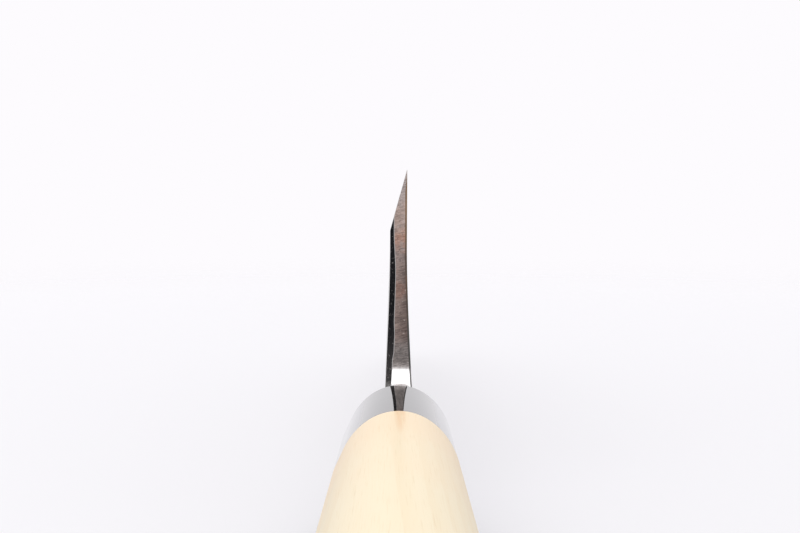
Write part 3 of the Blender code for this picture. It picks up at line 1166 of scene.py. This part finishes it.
    def neck_thickness(self, y: float, z: float) -> float:
        """Thickness of the neck and the tang."""
        ahead = mix(self.choil_thickness(z), self.neck, smooth_step((self.heel_y - y) / self.neck_length))
        return self.along_tang(y, self.tang_end, self.tang, self.neck, ahead)

    def ura_plane_x(self, y: float, z: float) -> float:
        """The ura without its hollow."""
        return self.ura_x + 0.5 * (self.choil_thickness(z) - self.waist) * self.flare_left(y)

    def chamfer_width(self, z: float) -> float:
        """Width of the omote's chamfer: widest just above the fillet, narrower to the ridge, fading above.

        Args:
            z: Height on the choil.

        Returns:
            The width.
        """
        if z > self.heel_ridge_z:
            return max(self.ridge_chamfer - self.bevel_slope * (z - self.heel_ridge_z), 0.0)
        share = smooth_step((self.heel_ridge_z - z) / self.chamfer_ease)
        full, fading, gone = self.bulge_heights
        bulge = smooth_step((z - self.fillet_z) / (full - self.fillet_z))
        bulge *= smooth_step((gone - z) / (gone - fading))
        return mix(self.ridge_chamfer, self.omote_chamfer, share) + self.chamfer_bulge * bulge

    def chamfer_cut(self, width: float, y: float, z: float) -> float:
        """How deep a chamfer of this width cuts into a side at a place; it fades down the shoulder."""
        return self.shoulder_share(y) * max(width - max(self.depth_inside(y, z), 0.0), 0.0)

    def omote(self, y: float, z: float) -> float:
        """Bevelled side, with the chamfer of the choil and of the neck's top.

        Args:
            y: Place along the knife.
            z: Height.

        Returns:
            The side's x.
        """
        if y < self.heel_y - self.hair:
            surface = -0.5 * self.neck_thickness(y, z)
        else:
            surface = self.ura_plane_x(y, z) - min(self.bevel_thickness(y, z), self.side_thickness(y, z))
        return surface + self.chamfer_cut(self.chamfer_width(z), y, z)

    def ura(self, y: float, z: float) -> float:
        """Flat side, with its hollow and its small chamfer.

        Args:
            y: Place along the knife.
            z: Height.

        Returns:
            The side's x.
        """
        chamfer = self.chamfer_cut(self.ura_chamfer, y, z)
        if y < self.heel_y - self.hair:
            surface = 0.5 * self.neck_thickness(y, z)
        else:
            surface = self.ura_plane_x(y, z)
            chamfer = min(chamfer, self.arris_share * self.bevel_thickness(y, z))
        return surface - self.hollow(y, z) - chamfer


@dataclass
class Blade:
    """Forged blade, neck and tang, split at the weld into a soft iron body and a hard steel layer.

    Each side is a triangle net over the side view, whose lines follow the ridge, the lands and the chamfers.
    The two sides are joined round the outline by the choil, the fillet, the neck's top and the spine.
    """

    shape: BladeShape
    mesher: Mesher
    spacing: float = 1.9 * MM
    neck_spacing: float = 0.8 * MM
    tang_spacing: float = 19.0 * MM
    line_clearance: float = 0.24 * MM
    chamfer_clearance: float = 0.32 * MM
    fillet_steps: int = 28
    blade_steps: int = 150
    # Normals along X from which a face is the weld's or a side's, and the slope from which it looks down
    weld_normal: float = 0.9999
    side_normal: float = 0.3
    down_slope: float = 0.5

    def stations(self) -> list[float]:
        """Places along the blade, from past the heel to short of the tip, closer towards the tip.

        Returns:
            The places, from the first.
        """
        start = self.shape.heel_y + self.shape.omote_chamfer
        turns = [0.5 * math.pi * i / self.blade_steps for i in range(self.blade_steps)]
        run = [mix(start, self.shape.tip_y, math.sin(turn)) for turn in turns]
        return sorted(run + [self.shape.ridge_end_y(), self.shape.lands_end_y()])

    def bottom_line(self) -> list[Place]:
        """Lower outline from the tang's end to short of the tip.

        Returns:
            The outline's points.
        """
        shape = self.shape
        run = spaced(shape.tang_end_y, shape.tang_start_y, self.tang_spacing) + [shape.tang_start_y]
        run += spaced(shape.shoulder_y, shape.heel_y, self.neck_spacing) + [shape.heel_y]
        return [(y, shape.low_z(y)) for y in run + self.stations()]

    def edge_line(self) -> list[Place]:
        """Cutting edge from the tip to the heel.

        Returns:
            The edge's points.
        """
        shape = self.shape
        run = [shape.tip_y] + self.stations()[::-1] + [shape.heel_y + shape.ura_chamfer, shape.heel_y]
        return [(y, shape.edge_z(y)) for y in run]

    def neck_line(self, inset: float) -> list[Place]:
        """Line down round the fillet and back along the neck's top, to the shoulder.

        Args:
            inset: How far it lies inside the outline.

        Returns:
            The line's points.
        """
        shape = self.shape
        radius = shape.choil_radius + inset
        turns = [0.5 * math.pi * step / self.fillet_steps for step in range(self.fillet_steps)]
        arc = [(shape.fillet_y + radius * math.cos(t), shape.fillet_z - radius * math.sin(t)) for t in turns]
        run = spaced(shape.fillet_y, shape.shoulder_y, self.neck_spacing) + [shape.shoulder_y]
        return arc + [(y, shape.neck_top - inset) for y in run]

    def top_line(self) -> list[Place]:
        """Choil, fillet, neck's top and tang's top, from below the heel's point to the tang's end.

        Returns:
            The outline's points.
        """
        shape = self.shape
        choil = spaced(shape.edge_height, shape.fillet_z, 0.5 * self.neck_spacing)[1:] + [shape.fade_z]
        line = [(shape.heel_y, z) for z in sorted(choil, reverse=True)] + self.neck_line(0.0)
        run = spaced(shape.tang_start_y, shape.tang_end_y, self.tang_spacing) + [shape.tang_end_y]
        return line + [(y, shape.top_z(y)) for y in run]

    def outline(self) -> list[Place]:
        """Whole outline of the side view, from the tang's end round by the tip."""
        return self.bottom_line() + self.edge_line() + self.top_line()

    def chamfer_line(self, width: Callable[[float], float], top: float) -> list[Place]:
        """Inner border of a side's chamfer, down the choil, round the fillet and back along the neck.

        Args:
            width: Gives the chamfer's width at a height.
            top: Height at which the line starts, on the choil.

        Returns:
            The line's points.
        """
        shape = self.shape
        heights = spaced(top, shape.fillet_z, 0.5 * self.neck_spacing)
        return [(shape.heel_y + width(z), z) for z in heights] + self.neck_line(width(shape.fillet_z))

    def neck_end(self, chamfer: float) -> list[Place]:
        """Line across the blade where the neck ends.

        Args:
            chamfer: Width of the side's chamfer, up to which the line goes.

        Returns:
            The line's points.
        """
        shape = self.shape
        high = shape.fillet_z - math.sqrt(2.0 * shape.choil_radius * chamfer + chamfer * chamfer)
        run = spaced(shape.low_z(shape.heel_y), high, self.neck_spacing)
        return [(shape.heel_y, z) for z in run + [high]]

    def omote_lines(self) -> list[list[Place]]:
        """Borders on the bevelled side.

        Returns:
            Its chamfer, the chamfer's glint, its ridge and the neck's end.
        """
        shape = self.shape
        end = shape.ridge_end_y()
        start = shape.heel_y + shape.ridge_chamfer
        run = [start] + [y for y in self.stations() if start < y < end]
        ridge = [(y, shape.ridge_z(y)) for y in run] + [(end, shape.low_z(end))]
        glint = self.chamfer_line(lambda z: shape.glint, shape.fade_z - shape.glint / shape.bevel_slope)
        chamfer = self.chamfer_line(shape.chamfer_width, shape.fade_z)
        return [chamfer, glint, ridge, self.neck_end(shape.omote_chamfer)]

    def ura_lines(self) -> list[list[Place]]:
        """Borders on the flat side.

        Returns:
            Its chamfer, its two lands and the neck's end.
        """
        shape = self.shape
        end = shape.lands_end_y()
        run = [y for y in self.stations() if y <= end]
        low = [(y, shape.lands(y)[0]) for y in [shape.heel_y] + run]
        start = shape.heel_y + shape.ura_chamfer
        high = [(y, shape.lands(y)[1]) for y in [start] + run[:-1]] + [low[-1]]
        chamfer = self.chamfer_line(lambda z: shape.ura_chamfer, shape.edge_z(start))
        return [chamfer, low, high, self.neck_end(shape.ura_chamfer)]

    def inner_places(self, lines: Sequence[Callable[[float], float]], chamfer: float) -> list[Place]:
        """Places that fill a side between its borders.

        Args:
            lines: Heights of the borders that run along the blade, from the lowest.
            chamfer: Width of the side's chamfer.

        Returns:
            The places.
        """
        shape = self.shape
        places = []
        for y in self.stations()[1:]:
            levels = sorted(min(max(line(y), shape.low_z(y)), shape.edge_z(y)) for line in lines)
            levels = [shape.low_z(y)] + levels + [shape.edge_z(y)]
            for low, high in zip(levels, levels[1:]):
                places += [(y, z) for z in spaced(low, high, self.spacing)[1:]]
        for y in spaced(shape.shoulder_y, shape.heel_y + shape.omote_chamfer, self.neck_spacing)[1:]:
            places += [(y, z) for z in spaced(shape.low_z(y), shape.edge_z(y), self.neck_spacing)[1:]]
        return [
            (y, z) for y, z in places
            if shape.depth_inside(y, z) > chamfer + self.chamfer_clearance
            and abs(y - shape.heel_y) > self.line_clearance
            and all(abs(z - line(y)) > self.line_clearance for line in lines)
        ]

    def net(self, lines: Sequence[Sequence[Place]], inner: Sequence[Place]) -> tuple[list, list]:
        """Triangle net over the side view, within its outline and along its lines.

        Args:
            lines: Borders that the net's edges follow.
            inner: Places that fill it.

        Returns:
            The net's places, of which the outline's come first, and its triangles.
        """
        outline = self.outline()
        places = [Vector(place) for place in outline]
        edges = [(i, (i + 1) % len(outline)) for i in range(len(outline))]
        for line in lines:
            start = len(places)
            places += [Vector(place) for place in line]
            edges += [(i, i + 1) for i in range(start, len(places) - 1)]
        places += [Vector(place) for place in inner]
        found, _, triangles, _, _, _ = delaunay_2d_cdt(places, edges, [], 1, self.shape.hair)
        return found, triangles

    def forging(self) -> bpy.types.Object:
        """Makes the whole forging in one closed skin.

        Returns:
            The forging.
        """
        shape = self.shape
        outline = self.outline()
        bm = bmesh.new()
        omote_net = self.net(self.omote_lines(), self.inner_places([shape.ridge_z], shape.omote_chamfer))
        lands = [lambda y: shape.lands(y)[0], lambda y: shape.lands(y)[1]]
        ura_net = self.net(self.ura_lines(), self.inner_places(lands, shape.ura_chamfer))
        for (places, triangles), side in ((omote_net, shape.omote), (ura_net, shape.ura)):
            verts = [bm.verts.new((side(y, z), y, z)) for y, z in places]
            for triangle in triangles:
                bm.faces.new([verts[i] for i in triangle])
        left = [bm.verts.new((shape.omote(y, z), y, z)) for y, z in outline]
        right = [bm.verts.new((shape.ura(y, z), y, z)) for y, z in outline]
        low = len(self.bottom_line())
        feet = [
            [bm.verts.new((vert.co.x + turn * shape.corner(vert.co.y), vert.co.y, shape.bottom_z(vert.co.y)))
             for vert in row[:low]] + [row[low]]
            for row, turn in ((left, 1.0), (right, -1.0))
        ]
        rows = [left, feet[0], feet[1], right]
        strips = [(first, second, i, i + 1) for first, second in zip(rows, rows[1:]) for i in range(low)]
        heel = low + len(self.edge_line()) - 1
        strips += [(left, right, i, (i + 1) % len(outline)) for i in range(heel, len(outline))]
        for first, second, i, after in strips:
            corners = [first[i], first[after], second[after], second[i]]
            bm.faces.new(list(dict.fromkeys(corners)))
        return self.mesher.add(bm, "forging")

    def finish_at(self, centre: Vector, normal: Vector) -> Steel:
        """Chooses the finish of a face of the forging.

        Args:
            centre: The face's centre.
            normal: Its outward direction.

        Returns:
            The finish.
        """
        shape = self.shape
        x, y, z = centre
        on_weld = abs(normal.x) > self.weld_normal and abs(x - shape.weld_x) < 2.0 * shape.weld_line
        looks_down = z < shape.low_z(y) + shape.hair and normal.z < -self.down_slope * abs(normal.x)
        if y < shape.shoulder_y or on_weld or looks_down:
            return Steel.SPINE
        if abs(normal.x) < self.side_normal:
            return Steel.CHOIL
        depth = shape.depth_inside(y, z)
        if normal.x > 0.0:
            low, high = shape.lands(y)
            if depth < shape.ura_chamfer:
                return Steel.ARRIS
            return Steel.HOLLOW if y < shape.heel_y or low < z < high else Steel.HONED
        if depth < shape.chamfer_width(z):
            return Steel.CHAMFER if depth > shape.glint else Steel.GLINT
        if z < shape.ridge_z(y):
            return Steel.SIDE
        return Steel.HAZE if x < shape.weld_x else Steel.HONED

    def build(self) -> list[bpy.types.Object]:
        """Makes the soft iron body and the hard steel layer.

        Returns:
            The two pieces.
        """
        shape = self.shape
        finishes = list(Steel)
        materials = [finish.value.build() for finish in finishes]
        reach = shape.tip_y
        pieces = []
        for name, node, slot, operation, growth in (
            ("soft_iron_body", "blade_body", "soft_iron", "DIFFERENCE", shape.weld_line),
            ("hard_steel_layer", "cutting_layer", "hard_steel", "INTERSECT", 0.0),
        ):
            piece = self.forging()
            piece.name = name
            low_x = shape.weld_x - growth
            low_y = shape.heel_y - shape.steel_start - growth
            rings = [rectangle(y, low_x, reach, -reach, reach) for y in (low_y, 2.0 * reach)]
            self.mesher.combine(piece, rings, operation)
            self.mesher.dress(piece, materials, lambda c, n: finishes.index(self.finish_at(c, n)))
            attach(piece, "root")
            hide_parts(node)
            pieces.append(piece)
        return pieces


@dataclass
class Ferrule:
    """Black resin cup on the handle's front, with a slot for the neck and a hollow for the tenon."""

    grip: GripShape
    blade: BladeShape
    mesher: Mesher
    back_y: float
    face_y: float
    rounding: float = 0.7 * MM
    wall: float = 2.2 * MM
    front: float = 5.0 * MM
    gap: float = 0.3 * MM
    slot_easing: float = 0.2 * MM

    def slot_rings(self) -> list[list[Point]]:
        """Rings of the neck's slot, whose mouth is eased.

        Returns:
            The rings, from the back.
        """
        rings = []
        for y, growth in (
            (self.face_y - 2.0 * self.front, 0.0),
            (self.face_y - self.slot_easing, 0.0),
            (self.face_y + self.front, self.slot_easing + self.front),
        ):
            half_width = 0.5 * self.blade.neck + self.gap + growth
            bottom = -self.blade.spine_depth - self.gap - growth
            top = self.blade.neck_top + self.gap + growth
            rings.append(rectangle(y, -half_width, half_width, bottom, top))
        return rings

    def build(self) -> bpy.types.Object:
        """Makes the ferrule.

        Returns:
            The ferrule.
        """
        rings = [self.grip.ring(self.back_y, self.back_y, 0.0)]
        rings += self.grip.rounded_end(self.face_y, -1.0, self.rounding)[::-1]
        piece = self.mesher.add(self.mesher.loft(rings), "resin_ferrule")
        cup_ends = (0.5 * self.back_y, self.face_y - self.front)
        cup = [self.grip.ring(y, self.face_y, self.wall) for y in cup_ends]
        self.mesher.combine(piece, cup, "DIFFERENCE")
        self.mesher.combine(piece, self.slot_rings(), "DIFFERENCE")
        self.mesher.dress(piece, [BlackResin().build()], lambda centre, normal: 0)
        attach(piece, "root")
        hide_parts("ferrule")
        return piece


@dataclass
class Handle:
    """Ho-wood grip with a rounded butt, a tenon for the ferrule and a tapered bore for the tang."""

    grip: GripShape
    blade: BladeShape
    ferrule: Ferrule
    mesher: Mesher
    glue_line: float = 0.03 * MM
    butt_rounding: float = 1.8 * MM
    tenon_chamfer: float = 0.4 * MM
    end_grain_normal: float = 0.7

    def bore_rings(self) -> list[list[Point]]:
        """Rings of the tang's bore, which is open at the tenon's end.

        Returns:
            The rings, from the back.
        """
        gap = self.ferrule.gap
        blade = self.blade
        rings = []
        for y, at in ((blade.tang_end_y - gap, blade.tang_end_y), (self.ferrule.face_y, self.ferrule.face_y)):
            share = blade.tang_share(at)
            half_width = 0.5 * mix(blade.tang_end, blade.tang, share) + gap
            bottom = -mix(blade.tang_end_half_height, blade.tang_depth, share) - gap
            top = mix(blade.tang_end_half_height, blade.tang_top, share) + gap
            rings.append(rectangle(y, -half_width, half_width, bottom, top))
        return rings

    def build(self) -> bpy.types.Object:
        """Makes the handle.

        Returns:
            The handle.
        """
        face_y = self.ferrule.face_y
        inset = self.ferrule.wall + self.ferrule.gap
        end_y = face_y - self.ferrule.front - self.ferrule.gap
        front_y = self.ferrule.back_y - self.glue_line
        rings = self.grip.rounded_end(0.0, 1.0, self.butt_rounding)
        for y, size_y, step in (
            (front_y, front_y, 0.0),
            (front_y, face_y, inset),
            (end_y - self.tenon_chamfer, face_y, inset),
            (end_y, face_y, inset + self.tenon_chamfer),
        ):
            rings.append(self.grip.ring(y, size_y, step))
        piece = self.mesher.add(self.mesher.loft(rings), "ho_wood_grip")
        self.mesher.combine(piece, self.bore_rings(), "DIFFERENCE")
        materials = [SIDE_GRAIN.build(), END_GRAIN.build()]
        self.mesher.dress(piece, materials, lambda _, normal: int(abs(normal.y) > self.end_grain_normal))
        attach(piece, "root")
        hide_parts("wood_handle")
        return piece


@dataclass(frozen=True)
class SoftLamp:
    """Rectangular soft lamp that points at the knife.

    Attributes:
        name: Name of the lamp.
        place: Its centre.
        size: Its two sides.
        radiance: How bright its face is, where 1 is white.
    """

    name: str
    place: Point
    size: tuple[float, float]
    radiance: float

    def hang(self, target: Point) -> None:
        """Places the lamp.

        Args:
            target: What it is turned to.
        """
        data = bpy.data.lights.new(self.name, "AREA")
        data.shape = "RECTANGLE"
        data.size, data.size_y = self.size
        data.energy = self.radiance * math.pi * data.size * data.size_y
        lamp = put(self.name, data)
        lamp.location = self.place
        aim = Vector(target) - Vector(self.place)
        lamp.rotation_euler = aim.to_track_quat("-Z", "Y").to_euler()


@dataclass
class Studio:
    """White studio with two soft lamps, and the camera behind the handle."""

    floor_z: float
    heel_y: float
    frame_px: float = 800.0
    focal_px: float = 1049.7
    sensor_mm: float = 36.0
    camera_place: Point = (-0.03 * MM, -52.0 * MM, 47.2 * MM)
    camera_pitch: float = 0.0752
    camera_yaw: float = 0.0014
    clip_start: float = 0.01
    lamps: tuple[SoftLamp, ...] = (
        SoftLamp("overhead lamp", (0.0, 0.12, 0.75), (0.7, 0.7), 0.95),
        SoftLamp("lamp behind on the left", (-0.2, -0.45, 0.62), (1.3, 0.6), 1.15),
    )
    fill: float = 0.69
    background: str = "#FDFBFE"
    floor_radius: float = 0.8
    floor_points: int = 96

    def set_camera(self) -> None:
        """Places the camera a little above and behind the handle's butt."""
        data = bpy.data.cameras.new("camera")
        data.sensor_width = self.sensor_mm
        data.lens = self.focal_px / self.frame_px * self.sensor_mm
        data.clip_start = self.clip_start
        camera = put("camera", data)
        camera.location = self.camera_place
        camera.rotation_euler = (0.5 * math.pi - self.camera_pitch, 0.0, -self.camera_yaw)
        bpy.context.scene.camera = camera

    def set_world(self) -> None:
        """Fills in from all round, and is white where it's seen."""
        world = bpy.data.worlds.new("studio")
        bpy.context.scene.world = world
        world.use_nodes = True
        tree = world.node_tree
        grey = (self.fill, self.fill, self.fill, 1.0)
        parts = {0: is_seen(tree), MIX_UNDER: grey, MIX_OVER: linear(self.background)}
        colour = add_node(tree, "Mix", MIX_RESULT, parts, data_type="RGBA")
        feed(tree, tree.nodes["Background"], {"Color": colour})

    def add_floor(self) -> None:
        """Lays a round of white paper under the knife."""
        bm = bmesh.new()
        bmesh.ops.create_circle(bm, cap_ends=True, segments=self.floor_points, radius=self.floor_radius)
        mesh = bpy.data.meshes.new("paper_floor")
        bm.to_mesh(mesh)
        bm.free()
        mesh.materials.append(PaperFloor().build())
        floor = put("paper_floor", mesh)
        floor.location = (0.0, self.heel_y, self.floor_z)

    def build(self) -> None:
        """Sets the whole studio."""
        bpy.context.scene.view_settings.view_transform = "Standard"
        self.set_camera()
        self.set_world()
        for lamp in self.lamps:
            lamp.hang((0.0, self.heel_y, 0.0))
        self.add_floor()


def main() -> None:
    """Builds the knife's sub-assemblies and the studio."""
    logging.basicConfig(level=logging.INFO, format="%(name)s: %(message)s")
    back_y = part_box("ferrule")[0].y
    face_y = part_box("ferrule")[1].y
    mesher = Mesher()
    blade_shape = BladeShape(face_y=face_y, tip_y=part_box("cutting_layer")[1].y)
    grip = GripShape(face_y=face_y)
    pieces = Blade(blade_shape, mesher).build()
    ferrule = Ferrule(grip, blade_shape, mesher, back_y=back_y, face_y=face_y)
    pieces.append(ferrule.build())
    pieces.append(Handle(grip, blade_shape, ferrule, mesher).build())
    for piece in pieces:
        log.info("%s: %d faces", piece.name, len(piece.data.polygons))
    Studio(floor_z=CAD_BOX[0][2], heel_y=blade_shape.heel_y).build()


if __name__ == "__main__":
    main()
